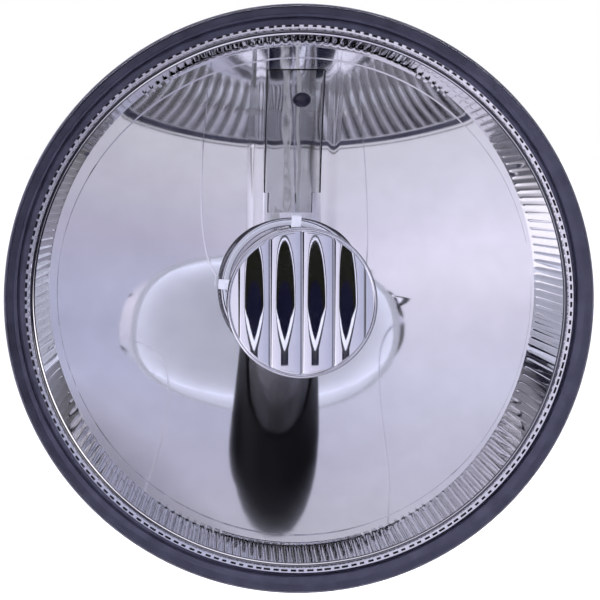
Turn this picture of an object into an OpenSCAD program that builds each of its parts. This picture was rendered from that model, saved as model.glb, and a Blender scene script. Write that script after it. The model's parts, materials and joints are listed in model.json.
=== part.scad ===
// Round clear-lens fog light on a steel yoke bracket, with a quarter-turn bulb.
// +Z is up and the light shines along -Y. The origin is the centre of the
// bracket's bolt circle, on the face that meets the vehicle.
// Depths along the optical axis are counted forward from the reflector's vertex.

/* [Lens] */
// Outer radius of the lens flange
lens_r = 56; // [55.8:0.1:57]
// Radius where the dome meets the flange
dome_r = 51.6; // [51.2:0.1:52.2]
// Height of the dome above the front of the flange
dome_rise = 14; // [13:0.5:16]
// Thickness of the glass at the middle
glass_t = 3; // [2.4:0.1:3.2]
// Thickness of the flange
flange_t = 4; // [3.5:0.1:4.5]

/* [Reflector] */
// Focal length of the bowl
focal = 30; // [29:0.5:32]
// Radius of the bowl where the ribbed rim wall starts
bowl_r = 45.8; // [45:0.1:46.2]
// Radius of the rim wall at the lens
rim_r = 50.3; // [50:0.1:50.6]
// Thickness of the metallised moulding
reflector_t = 1.6; // [1.2:0.1:1.7]
// Radius of the opening for the bulb
opening_r = 12.6; // [12.6:0.1:13]

/* [Housing] */
// Wall thickness of the rear shell
shell_t = 2; // [1.8:0.1:2.2]
// Radius of the neck that holds the bulb
neck_r = 17; // [16.5:0.1:18]
// Radius of the bore that the bulb holder turns in
socket_r = 9.5; // [9.45:0.05:9.5]

/* [Bulb shield] */
// Radius of the ribbed cap in front of the bulb
cap_r = 14; // [13.8:0.1:14.2]
// Depth of the cap's front face ahead of the vertex
cap_front = 47.2; // [46:0.2:47.4]
// Width of one upright rib on the cap
cap_rib_w = 5.7; // [5.4:0.1:5.8]
// Height of a rib above the cap's flat
cap_rib_h = 1.2; // [0.8:0.1:1.3]

/* [Bulb] */
// Radius of the glass envelope
envelope_r = 6; // [5.6:0.1:6]
// Depth of the envelope's tip ahead of the vertex
envelope_tip = 30.5; // [29.5:0.5:32]
// Angle between the bulb's locked place and its way out
unlock_angle = 45; // [40:1:50]

/* [Bracket] */
// Radius of the bracket's ring plate
plate_r = 52; // [51:0.5:52.5]
// Radius of the ring plate's window
window_r = 31; // [30:0.5:32]
// Thickness of the bracket's steel
plate_t = 2.5; // [2:0.1:3]
// Height of the spacers under the ring plate
spacer_h = 6; // [5.5:0.5:7]
// Diameter of the circle through the bolt holes
bolt_circle_d = 84; // [82:1:86]
// Radius of each bolt hole
bolt_hole_r = 2.75; // [2.6:0.05:2.8]

/* [Aiming] */
// Depth of the tilt axis ahead of the vertex
pivot_w = -4; // [-4.5:0.25:-3.5]
// Height of the adjuster screw above the tilt axis
adjuster_z = 38; // [37:0.5:39]
// Radius of the adjuster screw
screw_r = 2.5; // [2.3:0.1:2.5]
// Radial clearance of the adjuster nut, which tilts with the lamp
nut_gap = 0.5; // [0.45:0.05:0.6]

/* [Hidden] */
$fn = 96;
over = 1;                 // how far a cutting solid runs past the face it cuts
gap = 0.3;                // clearance between parts that only lie side by side
run_gap = 0.05;           // radial clearance of a turning fit
face_gap = 0.1;           // clearance between faces that meet
arc_steps = 24;           // points along each curved outline
round_steps = 8;          // points along a rounded end

vertex_y = 36;            // from the mounting face to the reflector's vertex
flange_front = 40;        // depth of the lens flange's front face
flange_back = flange_front - flange_t;
flange_edge = 1;          // chamfer on the flange's front edge
seal_t = 1.6;
seat_w = flange_back - seal_t;
seal_out_r = lens_r - 0.6;
dome_in_r = 49.4;         // inside radius of the dome at its foot
dome_foot = flange_front - 2;
dome_foot_r = 50;         // inside radius of the flange

rim_foot = bowl_r * bowl_r / (4 * focal);
rim_lip_r = 52.8;
rim_back_r = rim_r + 1.4;
bowl_back_r = bowl_r + 1.4;
bowl_back_w = rim_foot - 1;
seal_in_r = rim_lip_r + 0.2;
neck_back = -9.5;
neck_front = -2;
neck_tube_r = opening_r + 1.8;

// Outside of the rear shell, as radius and depth
shell_out = [
    [neck_r, -8], [34, -5], [46.2, -1.6], [49.9, 3], [50.6, 6], [52, 9], [52, 15],
    [54, seat_w - 2], [seal_out_r + 0.2, seat_w - 1.6], [seal_out_r + 0.2, seat_w]
];
// Inside of the rear shell, from the seat back to the neck
shell_seat_r = rim_r + 1.8;
shell_in = [
    [shell_seat_r, seat_w], [shell_seat_r, seat_w - 1.4], [52 - shell_t, 15],
    [52 - shell_t, 9.8], [50.6 - shell_t, 6.8], [49.9 - shell_t, 4.6],
    [45.6 - shell_t, 0.7], [34, -5 + shell_t + 0.2], [neck_r, -8 + shell_t + 0.1]
];
// Outline of a rib between the neck and the drum, as radius and depth
back_rib = [
    [neck_r - 1, neck_back + 0.5], [28, neck_back + 1.6], [46, -3.4],
    [44, -1], [34, -4], [neck_r - 1, -7]
];

post_ring_r = 34;         // screw posts on the back of the reflector
post_angles = [45, 135, 270];
post_r = 3.4;
post_foot = -1.2;
post_top = rim_foot / 2 - 0.4;
post_bore_r = 1.5;
post_bore_top = 5;
pad_r = 3.9;              // pads on the housing, under the screw heads
pad_back = -6.2;
pad_front = post_foot - face_gap;
screw_hole_r = post_bore_r + 0.2;
back_head_r = 3;          // heads of the screws that hold the reflector
back_head_h = 1.9;
back_shank_l = 9.5;
cross_l = 3.6;            // cross recess in those heads
cross_w = 0.8;
cross_depth = 1;
rib_angles = [20, 67.5, 112.5, 160, 200, 240, 292, 335];
rib_t = 1.6;              // stiffening ribs on the housing's back

lug_r = 12.2;
lug_w = 4.2;
lug_t = 1.8;
lug_back = -6.1;
lug_angles = [90, 210, 330];
lug_slot_w = lug_w + 2 * gap;

holder_r = socket_r - run_gap;
holder_front = neck_front - 0.2;
holder_flange_r = 14.8;
holder_flange_front = -11.2;
holder_flange_t = 2;
oring_r = 0.8;
oring_ring_r = 12.5;
plug_w = 16.4;            // connector shroud, across
plug_back = -22;
plug_front = -11.6;
plug_end = -27;
plug_top = -8;
plug_wall = 1.8;
plug_depth = 15;
grip_body_r = 11;         // body between the holder's flange and its plug
grip_x = 11.6;            // bars for turning the holder
grip_w = 2;
grip_h = 9;
grip_l = 6.3;
blade_x = 2.9;
blade_w = 2.8;
blade_t = 0.8;
blade_end = -20.5;

ferrule_r = 8.2;
ferrule_floor = 0.2;
ferrule_lip = 4;
filament_w = 21;          // depth of the middle of the filament
filament_l = 4.8;
filament_r = 0.7;
filament_wire_r = 0.16;
filament_turns = 6;
turn_pitch = filament_l / filament_turns - 0.05;
wire_r = 0.35;
wire_x = 2.4;             // lead wires beside the filament
wire_over = 0.6;          // how far the lead wires run past its ends
envelope_t = 1;
tip_h = 3.5;              // height of the envelope's rounded end
tip_foot = envelope_tip - tip_h;
tip_coat = 0.15;
tip_start = 25;

cap_t = 0.8;
cap_skirt_back = 43.6;
cap_rib_count = 4;
cap_flat = cap_front - cap_rib_h;
rib_overlap = 0.1;        // how far neighbouring ribs run into each other
leg_angles = [86, 176, 356];
leg_w = 1.6;
leg_t = 0.4;
leg_x = 13.35;
foot_in_x = 12;           // feet of the shield's legs on the collar
foot_l = 2.6;
foot_w = 1.92;
foot_h = 0.6;
collar_face = 3.6;
collar_back = 2;
collar_out_r = cap_r + 0.2;
collar_in_r = opening_r - 0.5;
collar_tube_r = opening_r - 0.1;
collar_bore_r = opening_r - 1;

strip_w = 11.3;
strip_t = 0.6;
strip_lift = 0.45;
strip_low = 15.2;
strip_high = 44.8;
strip_notch_w = 1.1;
strip_notch_z = 19.2;
strip_steps = 20;
pin_x = 2;
pin_z = 38.4;
pin_head_r = 1.75;
pin_head_h = 0.9;
pin_shank_r = 1;
pin_shank_l = 5;
pin_slope = atan(pin_z / (2 * focal));
pin_seat = 0.95;          // underside of the pin's head above the bowl

boss_face_x = 50.1;
boss_r = 5.5;
boss_root_x = 36;
insert_r = 4;
insert_l = 8;
insert_sink = 0.2;        // how far the inserts lie below the boss faces
pivot_thread_r = 2.5;
pivot_shank_r = 2.95;
pivot_head_r = 4.8;
pivot_head_h = 1.9;
key_r = 2.3;               // hexagon socket of the pivot screws
key_depth = 1.2;
arm_in_x = 51.2;
arm_t = 2;
arm_half_z = 10;
bush_r = pivot_shank_r + run_gap;
bush_out_r = 4.2;
bush_flange_r = 6.2;
bush_flange_t = 0.8;
bush_end = arm_t + bush_flange_t / 2;
pivot_head_x = arm_in_x + bush_end + gap;

adjuster_boss_r = 6.5;
adjuster_boss_back = -5.8;
adjuster_boss_front = 6.2;
adjuster_pocket = 5.2;
nut_r = 4.5;
nut_l = 6;
nut_flange_r = nut_r + 1.2;
nut_flange_t = 0.9;
screw_tip = 1.8;
screw_slot_w = 1.2;
screw_slot_depth = 1;
screw_head_r = 4.5;
screw_head_h = 3.6;
screw_collar_r = 5.2;
screw_collar_h = 1;
adjuster_bush_r = 4;
clip_r = 5;
clip_t = 0.8;

vent_x = 21;
vent_z = -24;
vent_r = 3;
vent_back = -11;
vent_front = -4;
vent_bore_r = 1.6;
vent_cap_r = 5.2;
vent_cap_edge = 1.2;
vent_cap_roof = 2;
vent_cap_h = 5.4;
vent_slot_w = 1.2;        // gaps in the cap's skirt that let the air out
vent_slot_start = 4.2;
spacer_r = 7.5;
plate_back_w = -vertex_y + spacer_h;
plate_front_w = plate_back_w + plate_t;
bolt_angles = [45, 135, 225, 315];

// Places its children at depth w on the optical axis, with local +Z forward and +Y up.
module at_depth(w) {
    translate([0, -(vertex_y + w), 0])
        rotate([90, 0, 0])
            children();
}

// A tube along local +Z.
module tube(outer, inner, h) {
    difference() {
        cylinder(r = outer, h = h);
        translate([0, 0, -over])
            cylinder(r = inner, h = h + 2 * over);
    }
}

// Repeats its children at each angle round the optical axis, out at radius r.
module ring_of(angles, r) {
    for (a = angles)
        rotate([0, 0, a])
            translate([r, 0, 0])
                children();
}

// Radius of the circle that rises by h over a half chord c.
function arc_radius(c, h) = (c * c + h * h) / (2 * h);

// Points of a dome's outline, from its foot at radius c to its top at depth top.
function dome_points(c, top, h) = [
    for (i = [0:arc_steps])
        let (r = c * (1 - i / arc_steps), big = arc_radius(c, h))
            [r, top - big + sqrt(big * big - r * r)]
];

// A list from its last item to its first.
function backwards(list) = [for (i = [len(list) - 1:-1:0]) list[i]];

// Points along a quarter ellipse from the side to the tip, as radius and depth.
function quarter(r, h, w) = [
    for (i = [0:round_steps])
        [r * cos(i * 90 / round_steps), w + h * sin(i * 90 / round_steps)]
];

// Points along the bowl, between two radii and lifted by shift.
function bowl_points(from, to, shift) = [
    for (i = [0:arc_steps])
        let (r = from + (to - from) * i / arc_steps)
            [r, r * r / (4 * focal) + shift]
];

// ---- lamp head ----

module lens() {
    top = flange_front + dome_rise;
    top_in = top - glass_t;
    color("aliceblue", 0.4)
        at_depth(0)
            rotate_extrude()
                polygon(concat(
                    dome_points(dome_r, top, dome_rise),
                    backwards(dome_points(dome_in_r, top_in, top_in - dome_foot)),
                    [[dome_foot_r, flange_back],
                     [lens_r, flange_back],
                     [lens_r, flange_front - flange_edge],
                     [lens_r - flange_edge, flange_front]]));
}

module lens_seal() {
    color("dimgray")
        at_depth(seat_w)
            tube(seal_out_r, seal_in_r, seal_t);
}

module reflector() {
    color("gainsboro")
        at_depth(0)
            difference() {
                union() {
                    rotate_extrude()
                        polygon(concat(
                            bowl_points(opening_r, bowl_r, 0),
                            [[rim_r, flange_back - face_gap],
                             [rim_lip_r, flange_back - face_gap],
                             [rim_lip_r, seat_w],
                             [rim_back_r, seat_w],
                             [bowl_back_r, bowl_back_w]],
                            bowl_points(bowl_r, neck_tube_r, -reflector_t),
                            [[neck_tube_r, neck_front + gap],
                             [opening_r, neck_front + gap]]));
                    ring_of(post_angles, post_ring_r)
                        translate([0, 0, post_foot])
                            cylinder(r = post_r, h = post_top - post_foot);
                }
                ring_of(post_angles, post_ring_r)
                    translate([0, 0, post_foot - over])
                        cylinder(r = post_bore_r, h = post_bore_top - post_foot + over);
                pin_hole();
            }
}

// Places its children where the pin stands on the bowl, with local +Z along the pin.
module at_pin() {
    translate([pin_x, pin_z, pin_z * pin_z / (4 * focal)])
        rotate([pin_slope, 0, 0])
            children();
}

module pin_hole() {
    at_pin()
        translate([0, 0, -pin_shank_l])
            cylinder(r = pin_shank_r + run_gap, h = 2 * pin_shank_l);
}

module housing_shell() {
    rotate_extrude()
        polygon(concat(
            [[socket_r, neck_back], [neck_r, neck_back]],
            shell_out,
            shell_in,
            [[neck_r, neck_front], [socket_r, neck_front]]));
}

module pivot_boss(side) {
    translate([side * boss_root_x, 0, 0])
        rotate([0, side * 90, 0])
            cylinder(r = boss_r, h = boss_face_x - boss_root_x);
}

// Thin upright ribs between the neck and the drum.
module back_ribs() {
    for (a = rib_angles)
        rotate([90, 0, a])
            translate([0, 0, -rib_t / 2])
                linear_extrude(height = rib_t)
                    polygon(back_rib);
}

module housing() {
    color([0.16, 0.16, 0.17])
        at_depth(0)
            difference() {
                union() {
                    housing_shell();
                    for (side = [-1, 1])
                        translate([0, 0, pivot_w])
                            pivot_boss(side);
                    translate([0, adjuster_z, adjuster_boss_back])
                        cylinder(r = adjuster_boss_r,
                                 h = adjuster_boss_front - adjuster_boss_back);
                    translate([vent_x, vent_z, vent_back])
                        cylinder(r = vent_r, h = vent_front - vent_back);
                    ring_of(post_angles, post_ring_r)
                        translate([0, 0, pad_back])
                            cylinder(r = pad_r, h = pad_front - pad_back);
                    back_ribs();
                }
                // pockets for the threaded inserts
                for (side = [-1, 1])
                    translate([side * (boss_face_x - insert_l), 0, pivot_w])
                        rotate([0, side * 90, 0])
                            cylinder(r = insert_r, h = insert_l + over);
                // pocket for the adjuster nut and the end of its screw
                translate([0, adjuster_z, adjuster_boss_back - over])
                    cylinder(r = nut_r, h = adjuster_pocket - adjuster_boss_back + over);
                // holes for the reflector's screws
                ring_of(post_angles, post_ring_r)
                    translate([0, 0, pad_back - over])
                        cylinder(r = screw_hole_r, h = pad_front - pad_back + 2 * over);
                // breather
                translate([vent_x, vent_z, vent_back - over])
                    cylinder(r = vent_bore_r, h = -vent_back + over);
                // groove that the bulb's lugs turn in, and their ways in
                translate([0, 0, lug_back - gap])
                    cylinder(r = lug_r + gap, h = lug_t + 2 * gap);
                for (a = lug_angles)
                    rotate([0, 0, a - unlock_angle])
                        translate([0, -lug_slot_w / 2, neck_back - over])
                            cube([lug_r + gap, lug_slot_w, lug_back - neck_back + over]);
            }
}

module bulb_shield() {
    rib_big_r = arc_radius(cap_rib_w / 2 + rib_overlap, cap_rib_h);
    skirt_h = cap_flat - cap_skirt_back;
    color("silver")
        at_depth(0) {
            // cap
            translate([0, 0, cap_skirt_back])
                difference() {
                    cylinder(r = cap_r, h = skirt_h);
                    translate([0, 0, -over])
                        cylinder(r = cap_r - cap_t, h = skirt_h - cap_t + over);
                }
            // upright ribs on its face
            intersection() {
                translate([0, 0, cap_flat - cap_t / 2])
                    cylinder(r = cap_r, h = 2 * cap_rib_h);
                union()
                    for (i = [0:cap_rib_count - 1])
                        translate([(i - (cap_rib_count - 1) / 2) * cap_rib_w, 0,
                                   cap_front - rib_big_r])
                            rotate([90, 0, 0])
                                translate([0, 0, -cap_r])
                                    cylinder(r = rib_big_r, h = 2 * cap_r);
            }
            // legs down to the collar
            ring_of(leg_angles, 0)
                translate([leg_x, -leg_w / 2, collar_face])
                    cube([leg_t, leg_w, cap_skirt_back + over - collar_face]);
        }
}

module shield_collar() {
    color("silver")
        at_depth(0) {
            translate([0, 0, neck_front + gap])
                tube(collar_tube_r, collar_bore_r, collar_face - neck_front - gap);
            translate([0, 0, collar_back])
                tube(collar_out_r, collar_in_r, collar_face - collar_back);
            // feet of the shield's legs, clinched over the collar
            ring_of(leg_angles, 0)
                difference() {
                    translate([foot_in_x, -foot_w / 2, collar_face - face_gap])
                        cube([foot_l, foot_w, foot_h + face_gap]);
                    translate([leg_x - run_gap, -leg_w / 2 - run_gap, collar_face])
                        cube([leg_t + 2 * run_gap, leg_w + 2 * run_gap, over]);
                }
        }
}

module heat_strip() {
    function strip_point(i, lift) =
        let (z = strip_low + (strip_high - strip_low) * i / strip_steps)
            [z, z * z / (4 * focal) + strip_lift + lift];
    color("lightgray")
        at_depth(0)
            difference() {
                rotate([90, 0, 90])
                    translate([0, 0, -strip_w / 2])
                        linear_extrude(height = strip_w)
                            polygon(concat(
                                [for (i = [0:strip_steps]) strip_point(i, 0)],
                                [for (i = [strip_steps:-1:0]) strip_point(i, strip_t)]));
                // shoulders beside the collar
                for (side = [-1, 1])
                    translate([side * strip_w / 2 - strip_notch_w, strip_low - over, 0])
                        cube([2 * strip_notch_w, strip_notch_z - strip_low + over, rim_foot]);
                pin_hole();
            }
}

module heat_strip_pin() {
    color([0.2, 0.18, 0.3])
        at_depth(0)
            at_pin() {
                translate([0, 0, pin_seat])
                    rotate_extrude()
                        polygon(concat([[0, 0]], quarter(pin_head_r, pin_head_h, 0)));
                translate([0, 0, pin_seat + face_gap - pin_shank_l])
                    cylinder(r = pin_shank_r, h = pin_shank_l);
            }
}

module reflector_screws() {
    head_back = pad_back - back_head_h;
    color("silver")
        at_depth(0)
            ring_of(post_angles, post_ring_r) {
                translate([0, 0, head_back])
                    difference() {
                        cylinder(r = back_head_r, h = back_head_h);
                        for (turn = [0, 90])
                            rotate([0, 0, turn])
                                translate([-cross_l / 2, -cross_w / 2, -over])
                                    cube([cross_l, cross_w, cross_depth + over]);
                    }
                translate([0, 0, head_back + cross_depth])
                    cylinder(r = post_bore_r - run_gap, h = back_shank_l);
            }
}

module vent_cap() {
    color([0.1, 0.1, 0.1])
        at_depth(0)
            translate([vent_x, vent_z, vent_back - vent_cap_roof])
                difference() {
                    rotate_extrude()
                        polygon([
                            [0, 0],
                            [vent_cap_r - vent_cap_edge, 0],
                            [vent_cap_r, vent_cap_edge],
                            [vent_cap_r, vent_cap_h],
                            [vent_r + run_gap, vent_cap_h],
                            [vent_r + run_gap, vent_cap_roof - run_gap],
                            [0, vent_cap_roof - run_gap]]);
                    for (a = [0, 90])
                        rotate([0, 0, a])
                            translate([-vent_cap_r - over, -vent_slot_w / 2, vent_slot_start])
                                cube([2 * vent_cap_r + 2 * over, vent_slot_w, vent_cap_h]);
                }
}

module pivot_inserts() {
    color("goldenrod")
        at_depth(pivot_w)
            for (side = [-1, 1])
                translate([side * (boss_face_x - insert_l), 0, 0])
                    rotate([0, side * 90, 0])
                        tube(insert_r, pivot_thread_r, insert_l - insert_sink);
}

module pivot_screws() {
    color("lightslategray")
        at_depth(pivot_w)
            for (side = [-1, 1])
                rotate([0, side * 90, 0]) {
                    translate([0, 0, boss_face_x - insert_l + insert_sink])
                        cylinder(r = pivot_thread_r, h = insert_l);
                    translate([0, 0, boss_face_x])
                        cylinder(r = pivot_shank_r, h = pivot_head_x - boss_face_x);
                    translate([0, 0, pivot_head_x])
                        difference() {
                            cylinder(r = pivot_head_r, h = pivot_head_h);
                            translate([0, 0, pivot_head_h - key_depth])
                                cylinder(r = key_r, h = key_depth + over, $fn = 6);
                        }
                }
}

module adjuster_nut() {
    color("whitesmoke")
        at_depth(0)
            translate([0, adjuster_z, adjuster_boss_back])
                difference() {
                    union() {
                        cylinder(r = nut_r, h = nut_l);
                        translate([0, 0, -nut_flange_t])
                            cylinder(r = nut_flange_r, h = nut_flange_t);
                    }
                    translate([0, 0, -nut_flange_t - over])
                        cylinder(r = screw_r + nut_gap, h = nut_flange_t + nut_l + 2 * over);
                }
}

// ---- bulb ----

module bulb_glass() {
    color("white", 0.3)
        at_depth(0)
            rotate_extrude()
                polygon(concat(
                    [[envelope_r, ferrule_floor]],
                    quarter(envelope_r, tip_h, tip_foot),
                    backwards(quarter(envelope_r - envelope_t, tip_h - envelope_t, tip_foot)),
                    [[envelope_r - envelope_t, ferrule_floor]]));
}

module bulb_tip() {
    color([0.05, 0.05, 0.05])
        at_depth(0)
            rotate_extrude()
                polygon(concat(
                    [[envelope_r + tip_coat, tip_start]],
                    quarter(envelope_r + tip_coat, tip_h + tip_coat, tip_foot),
                    backwards(quarter(envelope_r, tip_h, tip_foot)),
                    [[envelope_r, tip_start]]));
}

module filament() {
    color("slategray")
        at_depth(filament_w - filament_l / 2 + filament_wire_r)
            for (i = [0:filament_turns])
                translate([0, 0, i * turn_pitch])
                    rotate_extrude()
                        translate([filament_r, 0])
                            circle(r = filament_wire_r, $fn = 24);
}

// A lead wire that rises beside the filament and bends in to it at depth w.
module lead_wire(side, w) {
    translate([side * wire_x, 0, ferrule_floor])
        cylinder(r = wire_r, h = w + wire_r - ferrule_floor);
    translate([side * wire_x, 0, w])
        rotate([0, -side * 90, 0])
            cylinder(r = wire_r, h = wire_x - filament_r);
}

module filament_posts() {
    color("gray")
        at_depth(0) {
            lead_wire(1, filament_w + filament_l / 2 + wire_over);
            lead_wire(-1, filament_w - filament_l / 2 - wire_over);
        }
}

module bulb_ferrule() {
    color("silver")
        at_depth(holder_front)
            difference() {
                cylinder(r = ferrule_r, h = ferrule_lip - holder_front);
                translate([0, 0, ferrule_floor - holder_front])
                    cylinder(r = envelope_r, h = ferrule_lip);
            }
}

module bulb_holder() {
    color([0.12, 0.12, 0.13])
        at_depth(0)
            difference() {
                union() {
                    translate([0, 0, holder_flange_front])
                        cylinder(r = holder_r, h = holder_front - holder_flange_front);
                    for (a = lug_angles)
                        rotate([0, 0, a])
                            intersection() {
                                translate([0, -lug_w / 2, lug_back])
                                    cube([lug_r + over, lug_w, lug_t]);
                                translate([0, 0, lug_back])
                                    cylinder(r = lug_r, h = lug_t);
                            }
                    translate([0, 0, holder_flange_front - holder_flange_t])
                        cylinder(r = holder_flange_r, h = holder_flange_t);
                    translate([0, 0, plug_back + 1])
                        cylinder(r = grip_body_r, h = holder_flange_front - plug_back - 1);
                    translate([-plug_w / 2, plug_end, plug_back])
                        cube([plug_w, plug_top - plug_end, plug_front - plug_back]);
                    // grip bars for turning the holder
                    for (side = [-1, 1])
                        translate([side * grip_x - grip_w / 2, 0,
                                   holder_flange_front - holder_flange_t - grip_l])
                            cube([grip_w, grip_h, grip_l + face_gap]);
                }
                // mouth of the connector
                translate([-plug_w / 2 + plug_wall, plug_end - over, plug_back + plug_wall])
                    cube([plug_w - 2 * plug_wall, plug_depth + over,
                          plug_front - plug_back - 2 * plug_wall]);
            }
}

module bulb_oring() {
    color([0.5, 0.2, 0.1])
        at_depth(holder_flange_front + oring_r)
            rotate_extrude()
                translate([oring_ring_r, 0])
                    circle(r = oring_r, $fn = 32);
}

module bulb_terminals() {
    middle_w = (plug_back + plug_front) / 2;
    roof = plug_end + plug_depth;
    color("tan")
        at_depth(middle_w - blade_t / 2)
            for (side = [-1, 1])
                translate([side * blade_x - blade_w / 2, blade_end, 0])
                    cube([blade_w, roof - blade_end, blade_t]);
}

// ---- bracket ----

module bracket() {
    arm_front = pivot_w - plate_back_w;
    color([0.25, 0.26, 0.28])
        at_depth(plate_back_w)
            difference() {
                union() {
                    difference() {
                        union() {
                            cylinder(r = plate_r, h = plate_t);
                            translate([-arm_in_x - arm_t, -arm_half_z, 0])
                                cube([2 * (arm_in_x + arm_t), 2 * arm_half_z, plate_t]);
                        }
                        translate([0, 0, -over])
                            cylinder(r = window_r, h = plate_t + 2 * over);
                    }
                    for (side = [-1, 1])
                        translate([side * (arm_in_x + arm_t / 2) - arm_t / 2, 0, 0]) {
                            translate([0, -arm_half_z, 0])
                                cube([arm_t, 2 * arm_half_z, arm_front]);
                            translate([0, 0, arm_front])
                                rotate([0, 90, 0])
                                    cylinder(r = arm_half_z, h = arm_t);
                        }
                }
                ring_of(bolt_angles, bolt_circle_d / 2)
                    translate([0, 0, -over])
                        cylinder(r = bolt_hole_r, h = plate_t + 2 * over);
                translate([0, adjuster_z, -over])
                    cylinder(r = adjuster_bush_r, h = plate_t + 2 * over);
                translate([-arm_in_x - arm_t - over, 0, arm_front])
                    rotate([0, 90, 0])
                        cylinder(r = bush_out_r, h = 2 * (arm_in_x + arm_t + over));
            }
}

module bracket_spacers() {
    color("silver")
        at_depth(-vertex_y)
            ring_of(bolt_angles, bolt_circle_d / 2)
                tube(spacer_r, bolt_hole_r, spacer_h);
}

module pivot_bushes() {
    color("ivory")
        at_depth(pivot_w)
            for (side = [-1, 1])
                rotate([0, side * 90, 0]) {
                    translate([0, 0, arm_in_x - bush_flange_t])
                        tube(bush_flange_r, bush_r, bush_flange_t);
                    translate([0, 0, arm_in_x - face_gap])
                        tube(bush_out_r, bush_r, bush_end + face_gap);
                }
}

module adjuster_bush() {
    color("ivory")
        at_depth(plate_back_w)
            translate([0, adjuster_z, 0])
                tube(adjuster_bush_r, screw_r + run_gap, plate_t);
}

// ---- adjuster ----

module adjuster_screw() {
    color("silver")
        translate([0, 0, adjuster_z])
            at_depth(0) {
                translate([0, 0, plate_back_w - gap - screw_collar_h])
                    cylinder(r = screw_collar_r, h = screw_collar_h);
                translate([0, 0, plate_back_w - gap - screw_collar_h - screw_head_h])
                    difference() {
                        cylinder(r = screw_head_r, h = screw_head_h, $fn = 6);
                        translate([-screw_head_r, -screw_slot_w / 2, -over])
                            cube([2 * screw_head_r, screw_slot_w, screw_slot_depth + over]);
                    }
                translate([0, 0, plate_back_w - gap - face_gap])
                    cylinder(r = screw_r, h = screw_tip - plate_back_w + gap + face_gap);
            }
}

module adjuster_clip() {
    color("gray")
        translate([0, 0, adjuster_z])
            at_depth(plate_front_w + gap)
                tube(clip_r, screw_r, clip_t);
}

lens();
lens_seal();
reflector();
housing();
bulb_shield();
shield_collar();
heat_strip();
heat_strip_pin();
reflector_screws();
vent_cap();
pivot_inserts();
pivot_screws();
adjuster_nut();
bulb_glass();
bulb_tip();
filament();
filament_posts();
bulb_ferrule();
bulb_holder();
bulb_oring();
bulb_terminals();
bracket();
bracket_spacers();
pivot_bushes();
adjuster_bush();
adjuster_screw();
adjuster_clip();
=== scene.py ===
"""Looks of the fog light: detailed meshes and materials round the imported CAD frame.

Lengths are in metres in the row frame: +Z up, the light shines along -Y.
Depths on the optical axis are counted forward from the reflector's vertex.
"""
import json
import math

import bmesh
import bpy
import numpy as np
from mathutils import Matrix, Vector

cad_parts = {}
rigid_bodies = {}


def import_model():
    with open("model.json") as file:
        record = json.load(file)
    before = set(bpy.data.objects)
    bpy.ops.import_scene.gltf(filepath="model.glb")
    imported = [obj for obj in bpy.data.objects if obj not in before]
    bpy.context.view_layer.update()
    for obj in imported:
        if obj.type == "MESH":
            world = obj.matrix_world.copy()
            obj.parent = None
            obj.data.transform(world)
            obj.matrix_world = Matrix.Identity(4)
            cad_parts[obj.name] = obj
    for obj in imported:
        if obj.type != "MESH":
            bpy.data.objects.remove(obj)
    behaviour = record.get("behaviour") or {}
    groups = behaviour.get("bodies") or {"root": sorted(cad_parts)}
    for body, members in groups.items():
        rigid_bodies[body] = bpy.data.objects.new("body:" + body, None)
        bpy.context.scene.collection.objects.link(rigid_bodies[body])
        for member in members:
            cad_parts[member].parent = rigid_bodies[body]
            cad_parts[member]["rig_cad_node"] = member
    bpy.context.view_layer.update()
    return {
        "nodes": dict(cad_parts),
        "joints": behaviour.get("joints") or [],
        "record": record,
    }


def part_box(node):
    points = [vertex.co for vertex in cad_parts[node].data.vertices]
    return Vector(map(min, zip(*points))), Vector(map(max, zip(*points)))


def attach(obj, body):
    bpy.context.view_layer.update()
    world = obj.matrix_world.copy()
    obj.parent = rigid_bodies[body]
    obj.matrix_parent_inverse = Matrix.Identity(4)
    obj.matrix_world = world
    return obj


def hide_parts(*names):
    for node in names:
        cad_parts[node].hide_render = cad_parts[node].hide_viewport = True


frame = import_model()

MM = 0.001
TAU = 2 * math.pi
JOINTS = {j["name"]: j for j in frame["joints"]}
VERTEX_Y = JOINTS["bulb_twist"]["pos_m"][1]
LENS_LOW, LENS_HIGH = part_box("lens")
LENS_R = LENS_HIGH.x
LENS_FRONT = VERTEX_Y - LENS_LOW.y
FLANGE_T = 4 * MM
FLANGE_BACK = VERTEX_Y - LENS_HIGH.y
FLANGE_FRONT = FLANGE_BACK + FLANGE_T
POLE_R = 1e-7                # a smaller radius than this is a point on the axis


# ---------------------------------------------------------------- mesh helpers

def on_axis(r, angle, w):
    """Points at radius r, angle from +X towards +Z, depth w ahead of the vertex."""
    return np.stack([r * np.cos(angle), VERTEX_Y - w + 0 * r, r * np.sin(angle)], -1)


def link(name, verts, faces):
    """A new mesh object in the scene."""
    mesh = bpy.data.meshes.new(name)
    mesh.from_pydata([tuple(v) for v in verts], [], [tuple(f) for f in faces])
    mesh.validate()
    mesh.update()
    obj = bpy.data.objects.new(name, mesh)
    bpy.context.scene.collection.objects.link(obj)
    return obj


def smooth(obj, sharp_deg=35):
    """Shades a piece smoothly, apart from edges sharper than sharp_deg."""
    obj.data.polygons.foreach_set("use_smooth", [True] * len(obj.data.polygons))
    obj.data.set_sharp_from_angle(angle=math.radians(sharp_deg))
    return obj


def grid_faces(rows, cols, wrap_rows=False, wrap_cols=True, start=0):
    """Quads of a grid of rows by cols points."""
    faces = []
    for i in range(rows if wrap_rows else rows - 1):
        for j in range(cols if wrap_cols else cols - 1):
            a, b = i * cols + j, i * cols + (j + 1) % cols
            c, d = ((i + 1) % rows) * cols + (j + 1) % cols, ((i + 1) % rows) * cols + j
            faces.append((start + a, start + b, start + c, start + d))
    return faces


def outward(obj):
    """Makes every face of a closed mesh point out of it."""
    bm = bmesh.new()
    bm.from_mesh(obj.data)
    bmesh.ops.recalc_face_normals(bm, faces=bm.faces)
    bm.to_mesh(obj.data)
    bm.free()
    return obj


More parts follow.
